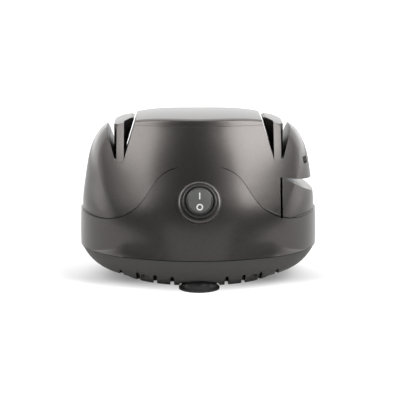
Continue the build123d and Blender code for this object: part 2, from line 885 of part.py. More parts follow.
with BuildPart() as switch_terminals:
    with BuildSketch(switch_plane.offset(-barrel_length)):
        with GridLocations(1, terminal_spacing, 1, 2):
            Rectangle(terminal_width, terminal_thickness)
    extrude(amount=-terminal_length)
switch_terminals.part.label = "switch_terminals"
export_step(switch_terminals.part, "parts/switch_terminals.step")

# ======================================================================= motor

axis_line = Plane(origin=(0, 0, shaft_height), x_dir=(0, 1, 0), z_dir=(1, 0, 0))
half_stack = stator_length / 2

with BuildPart() as motor_stator:
    with BuildSketch(axis_line.offset(-half_stack)):
        RectangleRounded(stator_size, stator_size, stator_corner)
        Circle(rotor_diameter / 2 + air_gap, mode=Mode.SUBTRACT)
        with GridLocations(2 * coil_offset_y, coil_height - coil_leg, 2, 2):
            Rectangle(
                coil_depth + 2 * coil_window_clearance,
                coil_leg + 2 * coil_window_clearance,
                mode=Mode.SUBTRACT,
            )
        with GridLocations(2 * bolt_offset, 2 * bolt_offset, 2, 2):
            Circle(bolt_diameter / 2, mode=Mode.SUBTRACT)
    extrude(amount=stator_length)
motor_stator.part.label = "motor_stator"
export_step(motor_stator.part, "parts/motor_stator.step")

with BuildPart() as field_coils:
    for side in (-1, 1):
        with BuildSketch(Plane.XZ.offset(-side * coil_offset_y - coil_depth / 2)):
            with Locations((0, shaft_height)):
                RectangleRounded(stator_length + 2 * coil_end + 2, coil_height, coil_leg)
                Rectangle(stator_length + 2, coil_height - 2 * coil_leg, mode=Mode.SUBTRACT)
        extrude(amount=coil_depth)
field_coils.part.label = "field_coils"
export_step(field_coils.part, "parts/field_coils.step")

for side_name, side in (("left", -1), ("right", 1)):
    bracket_plane = Plane(origin=(side * bracket_start, 0, shaft_height), x_dir=(0, 1, 0), z_dir=(side, 0, 0))
    with BuildPart() as bracket:
        with BuildSketch(bracket_plane):
            RectangleRounded(2 * bracket_half_depth, 2 * bracket_half_height, stator_corner)
            with PolarLocations(bracket_hub_diameter / 2 + bracket_window_radius, 4):
                Circle(bracket_window_radius - 1, mode=Mode.SUBTRACT)
        extrude(amount=bracket_thickness)
        with BuildSketch(bracket_plane):
            with GridLocations(2 * bolt_offset, 2 * bolt_offset, 2, 2):
                Circle(bolt_post_diameter / 2)
        extrude(amount=-(bracket_start - half_stack))
        with BuildSketch(bracket_plane.offset(bracket_thickness)):
            Circle(bracket_hub_diameter / 2)
        extrude(amount=-bush_length)
        with BuildSketch(bracket_plane.offset(2 * bracket_thickness)):
            Circle(bush_diameter / 2)
        extrude(amount=-4 * bush_length, mode=Mode.SUBTRACT)
        with BuildSketch(bracket_plane.offset(2 * bracket_thickness)):
            with GridLocations(2 * bolt_offset, 2 * bolt_offset, 2, 2):
                Circle(bolt_diameter / 2)
        extrude(amount=-2 * bracket_start, mode=Mode.SUBTRACT)
    bracket.part.label = side_name + "_motor_bracket"
    export_step(bracket.part, "parts/" + bracket.part.label + ".step")

    with BuildPart() as bush:
        with BuildSketch(bracket_plane.offset(bracket_thickness)):
            Circle(bush_diameter / 2)
            Circle(shaft_diameter / 2 + bush_clearance, mode=Mode.SUBTRACT)
        extrude(amount=-bush_length)
    bush.part.label = side_name + "_bearing_bush"
    export_step(bush.part, "parts/" + bush.part.label + ".step")

    mount_x = side * (bracket_start + bracket_thickness / 2)
    with BuildPart() as mounts:
        for end in (-1, 1):
            grip = shaft_height + end * bracket_half_height
            low = min(grip + end * mount_grip, grip - end * (mount_height - mount_grip))
            with BuildSketch(Plane.XY.offset(low)):
                with Locations((mount_x, 0)):
                    Rectangle(mount_width, mount_length)
            extrude(amount=mount_height)
        with BuildSketch(Plane.XY.offset(shaft_height - bracket_half_height)):
            with Locations((mount_x, 0)):
                Rectangle(bracket_thickness, 2 * mount_length)
        extrude(amount=2 * bracket_half_height, mode=Mode.SUBTRACT)
    mounts.part.label = side_name + "_motor_mounts"
    export_step(mounts.part, "parts/" + mounts.part.label + ".step")

with BuildPart() as motor_bolts:
    with BuildSketch(axis_line.offset(-bracket_start - bracket_thickness)):
        with GridLocations(2 * bolt_offset, 2 * bolt_offset, 2, 2):
            Circle(bolt_diameter / 2)
    extrude(amount=2 * (bracket_start + bracket_thickness))
    for side in (-1, 1):
        with BuildSketch(axis_line.offset(side * (bracket_start + bracket_thickness))):
            with GridLocations(2 * bolt_offset, 2 * bolt_offset, 2, 2):
                Circle(bolt_head_diameter / 2)
        extrude(amount=side * bolt_head_height)
motor_bolts.part.label = "motor_bolts"
export_step(motor_bolts.part, "parts/motor_bolts.step")

# ============================================================== rotor and wheels

shaft_radius = shaft_diameter / 2
half_rotor = rotor_length / 2

with BuildPart() as motor_shaft:
    with BuildSketch(axis_line.offset(-shaft_end_x)):
        Circle(shaft_radius)
    extrude(amount=2 * shaft_end_x)
    chamfer(motor_shaft.edges().filter_by(GeomType.CIRCLE), shaft_radius / 6)
motor_shaft.part.label = "motor_shaft"
export_step(motor_shaft.part, "parts/motor_shaft.step")

with BuildPart() as rotor_core:
    with BuildSketch(axis_line.offset(-half_rotor)):
        Circle(rotor_diameter / 2)
        Circle(shaft_radius, mode=Mode.SUBTRACT)
        with PolarLocations(rotor_diameter / 2, rotor_slots):
            Rectangle(2 * rotor_slot_depth, rotor_slot_width, mode=Mode.SUBTRACT)
    extrude(amount=rotor_length)
rotor_core.part.label = "rotor_core"
export_step(rotor_core.part, "parts/rotor_core.step")

with BuildPart() as rotor_winding:
    for side in (-1, 1):
        with BuildSketch(axis_line.offset(side * half_rotor)):
            Circle(winding_diameter / 2)
            Circle(shaft_radius, mode=Mode.SUBTRACT)
        extrude(amount=side * winding_thickness)
    round_edges = rotor_winding.edges().filter_by(GeomType.CIRCLE)
    outer_rims = [
        edge
        for edge in round_edges
        if abs(edge.radius - winding_diameter / 2) < 0.01 and abs(edge.center().X) > half_rotor + 1
    ]
    fillet(outer_rims, winding_thickness / 2)
rotor_winding.part.label = "rotor_winding"
export_step(rotor_winding.part, "parts/rotor_winding.step")

with BuildPart() as commutator:
    with BuildSketch(axis_line.offset(commutator_start)):
        Circle(commutator_diameter / 2)
        Circle(shaft_radius, mode=Mode.SUBTRACT)
        with PolarLocations(commutator_diameter / 2, rotor_slots):
            Rectangle(2 * commutator_groove, commutator_groove, mode=Mode.SUBTRACT)
    extrude(amount=commutator_length)
commutator.part.label = "commutator"
export_step(commutator.part, "parts/commutator.step")

fan_blade_root = fan_hub_diameter / 3
fan_blade_length = fan_diameter / 2 - fan_blade_thickness - fan_blade_root

with BuildPart() as cooling_fan:
    with BuildSketch(axis_line.offset(-fan_start)):
        Circle(fan_diameter / 2)
    extrude(amount=-fan_plate)
    with BuildSketch(axis_line.offset(-fan_start)):
        Circle(fan_hub_diameter / 2)
        with PolarLocations(fan_blade_root + fan_blade_length / 2, fan_blades):
            Rectangle(fan_blade_length, fan_blade_thickness)
    extrude(amount=-fan_width)
    with BuildSketch(axis_line.offset(-fan_start + 1)):
        Circle(shaft_radius)
    extrude(amount=-fan_width - 2, mode=Mode.SUBTRACT)
cooling_fan.part.label = "cooling_fan"
export_step(cooling_fan.part, "parts/cooling_fan.step")

for side_name, grit, side in (("left", "coarse", -1), ("right", "fine", 1)):
    wheel_plane = Plane(
        origin=(side * (station_x - wheel_thickness / 2), 0, shaft_height),
        x_dir=(0, 1, 0),
        z_dir=(side, 0, 0),
    )
    with BuildPart() as wheel:
        with BuildSketch(wheel_plane):
            Circle(wheel_radius)
            Circle(shaft_radius, mode=Mode.SUBTRACT)
        extrude(amount=wheel_thickness)
        rims = [edge for edge in wheel.edges().filter_by(GeomType.CIRCLE) if edge.radius > flange_diameter]
        chamfer(rims, wheel_edge_bevel)
    wheel.part.label = side_name + "_" + grit + "_wheel"
    export_step(wheel.part, "parts/" + wheel.part.label + ".step")

    with BuildPart() as flange:
        with BuildSketch(wheel_plane):
            Circle(flange_diameter / 2)
        extrude(amount=-flange_thickness / 2)
        with BuildSketch(wheel_plane):
            Circle(flange_diameter / 3)
        extrude(amount=-flange_thickness)
        with BuildSketch(wheel_plane.offset(1)):
            Circle(shaft_radius)
        extrude(amount=-2 * flange_thickness, mode=Mode.SUBTRACT)
    flange.part.label = side_name + "_wheel_flange"
    export_step(flange.part, "parts/" + flange.part.label + ".step")

    with BuildPart() as washer:
        with BuildSketch(wheel_plane.offset(wheel_thickness)):
            Circle(washer_diameter / 2)
            Circle(shaft_radius, mode=Mode.SUBTRACT)
        extrude(amount=washer_thickness)
    washer.part.label = side_name + "_wheel_washer"
    export_step(washer.part, "parts/" + washer.part.label + ".step")

    with BuildPart() as nut:
        with BuildSketch(wheel_plane.offset(wheel_thickness + washer_thickness)):
            RegularPolygon(nut_across_flats / 2, 6, major_radius=False)
            Circle(shaft_radius, mode=Mode.SUBTRACT)
        extrude(amount=nut_thickness)
    nut.part.label = side_name + "_wheel_nut"
    export_step(nut.part, "parts/" + nut.part.label + ".step")

# ==================================================================== brushes

commutator_radius = commutator_diameter / 2
holder_start = commutator_radius + holder_gap

with BuildPart() as brush_holders:
    for side in (-1, 1):
        with BuildSketch(Plane.XZ.offset(-side * holder_start)):
            with Locations((brush_center_x, shaft_height)):
                Rectangle(brush_width + 2 * holder_wall, brush_height + 2 * holder_wall)
        extrude(amount=-side * holder_length)
        # Arm that carries the holder on the right bracket.
        with BuildSketch(Plane.XZ.offset(-side * (holder_start + holder_length))):
            with Locations(((brush_center_x + bracket_start) / 2, shaft_height)):
                Rectangle(bracket_start - brush_center_x, brush_height + 2 * holder_wall)
        extrude(amount=side * 2 * holder_wall)
        with BuildSketch(Plane.XZ.offset(-side * (holder_start - 1))):
            with Locations((brush_center_x, shaft_height)):
                Rectangle(brush_width, brush_height)
        extrude(amount=-side * (holder_length + 1 - 2 * holder_wall), mode=Mode.SUBTRACT)
brush_holders.part.label = "brush_holders"
export_step(brush_holders.part, "parts/brush_holders.step")

with BuildPart() as carbon_brushes:
    for side in (-1, 1):
        with BuildSketch(Plane.XZ.offset(-side * (commutator_radius + brush_clearance))):
            with Locations((brush_center_x, shaft_height)):
                Rectangle(brush_width, brush_height)
        extrude(amount=-side * brush_length)
carbon_brushes.part.label = "carbon_brushes"
export_step(carbon_brushes.part, "parts/carbon_brushes.step")

with BuildPart() as capacitor:
    with BuildSketch(Plane.XY.offset(pan_clearance + 1.1 * wall)):
        with Locations((0, capacitor_y)):
            RectangleRounded(capacitor_width, capacitor_depth, 1)
    extrude(amount=capacitor_height)
capacitor.part.label = "suppressor_capacitor"
export_step(capacitor.part, "parts/suppressor_capacitor.step")
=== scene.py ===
# %% [markdown]
# # An electric knife sharpener
#
# The object is a small domed kitchen appliance. Two grinding wheels stand inside it,
# and a knife is drawn through the V slots over them. Its housing is moulded plastic
# under a pearl paint, its pan is bare plastic, and it stands on rubber suction feet.
#
# The shapes come ready made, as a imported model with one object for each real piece.
# This lesson gives every piece the finish that it has on the real thing, adds the
# printed switch face and the cheeks of the knife guides, and sets up the floor, the
# lights and the camera.

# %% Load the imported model
import math

import bmesh
import bpy
from mathutils import Matrix, Vector


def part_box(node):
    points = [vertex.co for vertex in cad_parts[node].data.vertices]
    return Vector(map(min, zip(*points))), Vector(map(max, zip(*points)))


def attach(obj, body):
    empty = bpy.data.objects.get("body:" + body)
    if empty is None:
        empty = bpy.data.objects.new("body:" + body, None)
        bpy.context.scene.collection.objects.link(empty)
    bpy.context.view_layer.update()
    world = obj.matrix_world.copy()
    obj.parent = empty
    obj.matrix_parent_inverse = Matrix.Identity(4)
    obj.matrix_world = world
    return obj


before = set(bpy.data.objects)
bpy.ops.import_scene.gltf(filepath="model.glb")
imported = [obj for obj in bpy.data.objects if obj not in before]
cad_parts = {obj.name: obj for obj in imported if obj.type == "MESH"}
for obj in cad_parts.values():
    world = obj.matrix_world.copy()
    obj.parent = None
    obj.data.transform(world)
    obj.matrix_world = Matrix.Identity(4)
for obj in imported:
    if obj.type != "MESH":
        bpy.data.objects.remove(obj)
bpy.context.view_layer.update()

# %% [markdown]
# ## Colours
#
# A paint chart gives a colour as sRGB hex. Blender mixes light in linear values, so
# one function turns the first into the second, and every colour goes through it.

# %% One function for colours
def linear(hex_colour):
    """Linear red, green, blue and alpha of an sRGB hex colour."""
    channels = [int(hex_colour[i : i + 2], 16) / 255 for i in (1, 3, 5)]
    curve = [c / 12.92 if c <= 0.04045 else ((c + 0.055) / 1.055) ** 2.4 for c in channels]
    return (*curve, 1.0)


WHITE = linear("#ffffff")
print("mid grey in linear light:", round(linear("#808080")[0], 3))

# %% [markdown]
# ## Nodes
#
# A material is a small graph of nodes. One function adds a node of any kind, sets its
# options, and fills or links its inputs. An input that is given another node's output
# gets a link, and any other value is set on the socket itself.

# %% One function for nodes
def add_node(tree, kind, inputs=(), **settings):
    """A new node in a tree, with its options set and its inputs filled or linked."""
    made = tree.nodes.new(kind)
    for name, value in settings.items():
        setattr(made, name, value)
    for name, value in dict(inputs).items():
        if isinstance(value, bpy.types.NodeSocket):
            tree.links.new(value, made.inputs[name])
        else:
            made.inputs[name].default_value = value
    return made


def start_material(name, **surface):
    """A material with one Principled shader, whose even values sit on its sockets."""
    material = bpy.data.materials.new(name)
    material.use_nodes = True
    tree = material.node_tree
    tree.nodes.clear()
    values = {key.replace("_", " "): value for key, value in surface.items()}
    shader = add_node(tree, "ShaderNodeBsdfPrincipled", values)
    add_node(tree, "ShaderNodeOutputMaterial", {"Surface": shader.outputs["BSDF"]})
    place = add_node(tree, "ShaderNodeTexCoord").outputs["Object"]
    return material, tree, shader, place


MM = 0.001
print("one millimetre in the model's metres:", MM)

# %% [markdown]
# ## Grain
#
# Almost every real surface has a grain: flakes in paint, sparks' craters in a mould,
# pores in a casting. Noise on Object coordinates does for all of them, because those
# coordinates are real metres, so a grain of half a millimetre stays half a millimetre
# on every piece. One function mixes two colours by the noise and lifts the same noise
# into a bump. Where a moulding has round edges too fine to model, a Bevel node bends
# the light over them.

# %% A grain of a given size
def grain(tree, shader, place, colours, size_mm, bump_mm, contrast=0.5, edge_mm=0.0):
    """Mottles the shader between two colours, with a bump, at a grain size in mm."""
    noise = add_node(
        tree,
        "ShaderNodeTexNoise",
        {"Vector": place, "Scale": 1 / (size_mm * MM), "Detail": 2.0, "Roughness": 0.6},
    )
    spread = add_node(
        tree,
        "ShaderNodeMapRange",
        {
            "Value": noise.outputs["Fac"],
            "From Min": 0.5 - contrast / 2,
            "From Max": 0.5 + contrast / 2,
        },
    )
    mix = add_node(
        tree,
        "ShaderNodeMix",
        {0: spread.outputs["Result"], 6: linear(colours[0]), 7: linear(colours[1])},
        data_type="RGBA",
    )
    tree.links.new(mix.outputs[2], shader.inputs["Base Color"])
    bump = add_node(
        tree,
        "ShaderNodeBump",
        {"Height": noise.outputs["Fac"], "Distance": bump_mm * MM, "Strength": 1.0},
    )
    if edge_mm:
        round_edge = add_node(tree, "ShaderNodeBevel", {"Radius": edge_mm * MM}, samples=4)
        tree.links.new(round_edge.outputs["Normal"], bump.inputs["Normal"])
    tree.links.new(bump.outputs["Normal"], shader.inputs["Normal"])


print("a 0.5 mm grain is a noise scale of", 1 / (0.5 * MM))

# %% [markdown]
# ## Painted shade in the joint lines
#
# Where two mouldings meet, a narrow gap swallows the light and reads as a thin dark
# line. Such a gap can be cut into the mesh as a groove, which takes many small faces
# along a curve. The gaps here are under a millimetre wide, so their shade is painted
# into the material instead: a mask that is 1 on the line darkens the colour of the grain
# to a painted shadow.

# %% Masks and the painted shade that they bring
def band_mask(tree, value, middle, half_width):
    """1 where a value in metres is within half a width of the middle, with soft ends."""
    offset = add_node(tree, "ShaderNodeMath", {0: value, 1: middle}, operation="SUBTRACT")
    size = add_node(tree, "ShaderNodeMath", {0: offset.outputs[0]}, operation="ABSOLUTE")
    mask = add_node(
        tree,
        "ShaderNodeMapRange",
        {
            "Value": size.outputs[0],
            "From Min": 0.6 * half_width,
            "From Max": 1.4 * half_width,
            "To Min": 1.0,
            "To Max": 0.0,
        },
        interpolation_type="SMOOTHSTEP",
    )
    return mask.outputs["Result"]


def paint_shade(tree, shader, mask, colour="#0c0b0b"):
    """Paints shade: mixes a shader's base colour towards near black where the mask is 1."""
    before = shader.inputs["Base Color"].links[0].from_socket
    mix = add_node(
        tree,
        "ShaderNodeMix",
        {0: mask, 6: before, 7: linear(colour)},
        data_type="RGBA",
    )
    tree.links.new(mix.outputs[2], shader.inputs["Base Color"])


SEAM_HEIGHT = 23.4 * MM
SEAM_HALF_WIDTH = 0.35 * MM
print("the pan's seam is at", round(SEAM_HEIGHT / MM, 1), "mm")

# %% [markdown]
# ## The pearl paint
#
# The housing is ABS, sprayed with a dark pearl paint: aluminium flakes in a grey-brown
# lacquer under a thin clear coat. Flakes lie almost flat, so the paint mirrors the
# studio softly, like a metal with a broad gloss. That is a high metallic value with a
# fairly low roughness, and a weak coat on top. Real flakes are under 0.1 mm, too fine
# to show, so they are drawn at 0.7 mm with little contrast.
#
# Two lines of painted shade run through the paint, in place of the shadow in narrow
# gaps. The one at the seam under the housing is level. The swoosh is the shade at the
# parting line over the lower band: its height follows a curve across the front, and it
# fades out in the middle.

# %% Pearl paint on ABS
pearl_paint, tree, shader, place = start_material(
    "pearl_paint_on_abs",
    Metallic=0.88,
    Roughness=0.29,
    Coat_Weight=0.25,
    Coat_Roughness=0.18,
)
grain(tree, shader, place, ("#474443", "#504d4b"), size_mm=0.7, bump_mm=0.004, edge_mm=0.35)
axes = add_node(tree, "ShaderNodeSeparateXYZ", {"Vector": place})
# The seam's dark line is painted shade: the shadow in the gap between housing and pan.
seam_shadow = band_mask(tree, axes.outputs["Z"], SEAM_HEIGHT, SEAM_HALF_WIDTH)
print("made", pearl_paint.name)

# %% The height of the swoosh
# Each pair is a distance from the middle and a height, in mm. A float curve runs from
# 0 to 1, so both are given to it as shares of its span.
SWOOSH = [
    (0, 83.4), (8, 82.9), (16, 81.2), (22, 78.5), (27, 74.4), (32, 67.6),
    (38.5, 58.4), (46, 52.3), (54, 48.7), (62, 47.0), (72, 47.1), (84, 48.3),
]
SPAN = 100
from_middle = add_node(tree, "ShaderNodeMath", {0: axes.outputs["X"]}, operation="ABSOLUTE")
share = add_node(
    tree, "ShaderNodeMath", {0: from_middle.outputs[0], 1: SPAN * MM}, operation="DIVIDE"
)
swoosh = add_node(tree, "ShaderNodeFloatCurve", {"Value": share.outputs[0]})
curve = swoosh.mapping.curves[0]
curve.points[0].location = (SWOOSH[0][0] / SPAN, SWOOSH[0][1] / SPAN)
curve.points[1].location = (SWOOSH[-1][0] / SPAN, SWOOSH[-1][1] / SPAN)
for across, height in SWOOSH[1:-1]:
    curve.points.new(across / SPAN, height / SPAN)
swoosh.mapping.update()
line_height = add_node(
    tree, "ShaderNodeMath", {0: swoosh.outputs[0], 1: SPAN * MM}, operation="MULTIPLY"
)
print("the swoosh rises to", SWOOSH[0][1], "mm")

# %% Both painted shadow lines in the paint
SWOOSH_HALF_WIDTH = 0.3 * MM
FADE_START = 12 * MM
FADE_END = 18 * MM
# The swoosh's dark line is painted shade: the shadow under the step at the parting line.
swoosh_shadow = band_mask(tree, axes.outputs["Z"], line_height.outputs[0], SWOOSH_HALF_WIDTH)
fade = add_node(
    tree,
    "ShaderNodeMapRange",
    {"Value": from_middle.outputs[0], "From Min": FADE_START, "From Max": FADE_END},
    interpolation_type="SMOOTHSTEP",
)
faded_swoosh_shadow = add_node(
    tree, "ShaderNodeMath", {0: swoosh_shadow, 1: fade.outputs["Result"]}, operation="MULTIPLY"
)
both_shadows = add_node(
    tree, "ShaderNodeMath", {0: seam_shadow, 1: faded_swoosh_shadow.outputs[0]}, operation="MAXIMUM"
)
# Paints the shade of both joints as near black lines in the paint's colour.
paint_shade(tree, shader, both_shadows.outputs[0])
print("the swoosh is", round(2 * SWOOSH_HALF_WIDTH / MM, 1), "mm wide")

# %% [markdown]
# ## The moulded plastics
#
# The pan is bare ABS from a mould whose face was roughened by sparks, which leaves a
# fine matt texture about 0.5 mm across. The switch is black nylon with a smoother
# face, and its rocker has a printed grey disc. The fan is white nylon, and the
# suppressor is a small box of yellow polyester. Images could carry such surfaces, but
# noise has no seams and needs no file, so each plastic takes the same grain at the
# size and depth that its mould gives.

# %% Bare ABS of the pan
pan_abs, tree, shader, place = start_material(
    "spark_textured_abs", Metallic=0.25, Roughness=0.52
)
grain(tree, shader, place, ("#3b3a38", "#444341"), size_mm=0.5, bump_mm=0.02, edge_mm=0.3)
axes = add_node(tree, "ShaderNodeSeparateXYZ", {"Vector": place})
# The seam's dark line on the pan is painted shade: the shadow in the gap under the housing.
paint_shade(tree, shader, band_mask(tree, axes.outputs["Z"], SEAM_HEIGHT, SEAM_HALF_WIDTH))
print("made", pan_abs.name)

# %% Nylons and polyester
switch_nylon, tree, shader, place = start_material("black_moulded_nylon", Roughness=0.34)
grain(tree, shader, place, ("#100f0f", "#171615"), size_mm=0.8, bump_mm=0.004, edge_mm=0.15)

fan_nylon, tree, shader, place = start_material("white_moulded_nylon", Roughness=0.45)
grain(tree, shader, place, ("#cfcbc2", "#d8d4cb"), size_mm=1.2, bump_mm=0.006, edge_mm=0.3)

polyester_box, tree, shader, place = start_material("yellow_polyester_box", Roughness=0.4)
grain(tree, shader, place, ("#b0923a", "#bb9d45"), size_mm=0.9, bump_mm=0.004, edge_mm=0.3)
print("made", switch_nylon.name, "and", fan_nylon.name, "and", polyester_box.name)

# %% The prints on the rocker
rocker_disc_paint, tree, shader, place = start_material(
    "grey_pad_printed_face", Roughness=0.42
)
grain(tree, shader, place, ("#454644", "#4c4d4b"), size_mm=0.5, bump_mm=0.004)

mark_ink, tree, shader, place = start_material("white_pad_print_ink", Roughness=0.55)
grain(tree, shader, place, ("#bcbcba", "#c8c8c6"), size_mm=0.3, bump_mm=0.002)
print("made", rocker_disc_paint.name, "and", mark_ink.name)

# %% [markdown]
# ## Rubber
#
# The suction feet and the motor's mounts are soft black rubber. Rubber is matt because
# its skin is rough, and the dust on it catches a little light at grazing angles. The
# sheen value gives that light without any dust to model.

# %% Soft black rubber
foot_rubber, tree, shader, place = start_material(
    "soft_black_rubber", Roughness=0.36, Sheen_Weight=0.15, Sheen_Roughness=0.4
)
grain(tree, shader, place, ("#232323", "#302f2f"), size_mm=0.6, bump_mm=0.006, edge_mm=0.3)
print("made", foot_rubber.name)

# %% [markdown]
# ## Metals
#
# A metal's colour sits in its reflection, so each of these is fully metallic. What
# tells them apart is how they were made: screws are zinc plated, the brackets are die
# cast, the bushes are sintered bronze with open pores, and the terminals and brush
# holders are stamped brass. The brushes between the brass and the commutator are
# pressed from carbon, which is grey and hardly metallic. Nearly all of these pieces
# are hidden in the housing, so one grain each is enough.

# %% Plain metals and carbon
zinc_steel, tree, shader, place = start_material(
    "zinc_plated_steel", Metallic=1.0, Roughness=0.3
)
grain(tree, shader, place, ("#b4b6b9", "#c4c6c9"), size_mm=0.5, bump_mm=0.003, edge_mm=0.15)

cast_aluminium, tree, shader, place = start_material(
    "die_cast_aluminium", Metallic=1.0, Roughness=0.5
)
grain(tree, shader, place, ("#9a9b9c", "#adaeaf"), size_mm=0.7, bump_mm=0.02, edge_mm=0.3)

sintered_bronze, tree, shader, place = start_material(
    "sintered_bronze", Metallic=1.0, Roughness=0.48
)
grain(tree, shader, place, ("#8f6d3a", "#b08c52"), size_mm=0.25, bump_mm=0.01, contrast=0.3)

stamped_brass, tree, shader, place = start_material(
    "stamped_brass", Metallic=1.0, Roughness=0.28
)
grain(tree, shader, place, ("#c0a050", "#cbab5c"), size_mm=1.5, bump_mm=0.002, edge_mm=0.1)

brush_carbon, tree, shader, place = start_material(
    "pressed_carbon", Metallic=0.1, Roughness=0.6
)
grain(tree, shader, place, ("#242426", "#313134"), size_mm=0.2, bump_mm=0.004)
print("made four plain metals and the carbon of the brushes")

# %% [markdown]
# ## Metals with lines
#
# Four surfaces are made of fine parallel lines. The stator and rotor are stacks of
# steel sheets half a millimetre thick, the coils are turns of enamelled wire, a ground
# shaft carries rings from the wheel that ground it, and the copper bars of the
# commutator were turned on a lathe. Modelled grooves would take thousands of faces,
# and a wave texture draws the same lines at their real spacing.

# %% Lines at a real spacing
def lines(tree, shader, place, colours, axis, pitch_mm, bump_mm):
    """Fine parallel lines across an axis, as a change of colour and a bump."""
    # A wave texture of scale 1 has 20 lines in 2 pi units.
    wave = add_node(
        tree,
        "ShaderNodeTexWave",
        {"Vector": place, "Scale": math.pi / (10 * pitch_mm * MM), "Distortion": 0.0},
        bands_direction=axis,
    )
    mix = add_node(
        tree,
        "ShaderNodeMix",
        {0: wave.outputs["Fac"], 6: linear(colours[0]), 7: linear(colours[1])},
        data_type="RGBA",
    )
    tree.links.new(mix.outputs[2], shader.inputs["Base Color"])
    bump = add_node(
        tree,
        "ShaderNodeBump",
        {"Height": wave.outputs["Fac"], "Distance": bump_mm * MM, "Strength": 1.0},
    )
    tree.links.new(bump.outputs["Normal"], shader.inputs["Normal"])


print("lines 0.5 mm apart are a wave scale of", round(math.pi / (10 * 0.5 * MM), 1))

# %% Stacked, wound, ground and turned metals
stack_steel, tree, shader, place = start_material(
    "steel_sheet_stack", Metallic=1.0, Roughness=0.42
)
lines(tree, shader, place, ("#5f6062", "#8b8c8f"), axis="X", pitch_mm=0.5, bump_mm=0.05)

coil_wire, tree, shader, place = start_material(
    "enamelled_copper_wire", Metallic=0.9, Roughness=0.3
)
lines(tree, shader, place, ("#6d3416", "#b9652f"), axis="Z", pitch_mm=0.6, bump_mm=0.15)

ground_steel, tree, shader, place = start_material(
    "ground_steel", Metallic=1.0, Roughness=0.25
)
lines(tree, shader, place, ("#a9abae", "#bbbdc0"), axis="X", pitch_mm=0.2, bump_mm=0.002)

bar_copper, tree, shader, place = start_material(
    "turned_copper_bars", Metallic=1.0, Roughness=0.3
)
lines(tree, shader, place, ("#a5623c", "#bb7448"), axis="X", pitch_mm=0.3, bump_mm=0.004)
print("made four lined metals")

# %% [markdown]
# ## The grinding wheels
#
# A grinding wheel is made of hard grains in a fired bond: brown alumina for the coarse
# wheel, white alumina for the fine one. The grains are far too many to model. Cells of
# a Voronoi texture stand for them, each with a shade of its own and a raised middle.

# %% Bonded grains
def bonded_grains(name, colours, grain_mm):
    """A sintered abrasive whose grains are cells of one size, each of its own shade."""
    material, tree, shader, place = start_material(name, Roughness=0.85)
    cells = add_node(
        tree, "ShaderNodeTexVoronoi", {"Vector": place, "Scale": 1 / (grain_mm * MM)}
    )
    shade = add_node(tree, "ShaderNodeSeparateColor", {"Color": cells.outputs["Color"]})
    mix = add_node(
        tree,
        "ShaderNodeMix",
        {0: shade.outputs["Red"], 6: linear(colours[0]), 7: linear(colours[1])},
        data_type="RGBA",
    )
    tree.links.new(mix.outputs[2], shader.inputs["Base Color"])
    bump = add_node(
        tree,
        "ShaderNodeBump",
        {"Height": cells.outputs["Distance"], "Distance": 0.2 * grain_mm * MM, "Strength": 1.0},
        invert=True,
    )
    tree.links.new(bump.outputs["Normal"], shader.inputs["Normal"])
    return material


COARSE_GRAIN = 0.8
FINE_GRAIN = 0.4
coarse_alumina = bonded_grains("brown_fused_alumina", ("#4e4038", "#8a7462"), COARSE_GRAIN)
fine_alumina = bonded_grains("white_fused_alumina", ("#a59d90", "#d6cfc2"), FINE_GRAIN)
print("grain sizes in mm: coarse", COARSE_GRAIN, "and fine", FINE_GRAIN)

# %% [markdown]
# ## Dressing the pieces
#
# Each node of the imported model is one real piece, so a table from finish to nodes
# dresses them all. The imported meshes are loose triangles: flat shading would show each
# of them, and smooth shading alone would blur the real edges. A small geometry node
# modifier welds them and smooths every edge that turns less than 30 degrees, which
# keeps the painted dome free of facets and the real edges crisp.

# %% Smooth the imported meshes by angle
WELD_DISTANCE = 0.002 * MM
PACKED_SHARP_ANGLE = math.radians(30)


def smoothing_modifier():
    """A node group that welds a mesh and smooths all but its sharp edges."""
    group = bpy.data.node_groups.new("weld_and_smooth", "GeometryNodeTree")
    for in_out in ("INPUT", "OUTPUT"):
        group.interface.new_socket(
            "Geometry", in_out=in_out, socket_type="NodeSocketGeometry"
        )
    start = add_node(group, "NodeGroupInput")
    weld = add_node(
        group,
        "GeometryNodeMergeByDistance",
        {"Geometry": start.outputs[0], "Distance": WELD_DISTANCE},
    )
    faces = add_node(
        group,
        "GeometryNodeSetShadeSmooth",
        {"Geometry": weld.outputs[0], "Shade Smooth": True},
        domain="FACE",
    )
    angle = add_node(group, "GeometryNodeInputMeshEdgeAngle")
    sharp = add_node(
        group,
        "FunctionNodeCompare",
        {0: angle.outputs["Unsigned Angle"], 1: PACKED_SHARP_ANGLE},
        data_type="FLOAT",
        operation="GREATER_THAN",
    )
    edges = add_node(
        group,
        "GeometryNodeSetShadeSmooth",
        {"Geometry": faces.outputs[0], "Selection": sharp.outputs[0], "Shade Smooth": False},
        domain="EDGE",
    )
    add_node(group, "NodeGroupOutput", {0: edges.outputs[0]})
    return group


weld_and_smooth = smoothing_modifier()
print("made the modifier", weld_and_smooth.name)

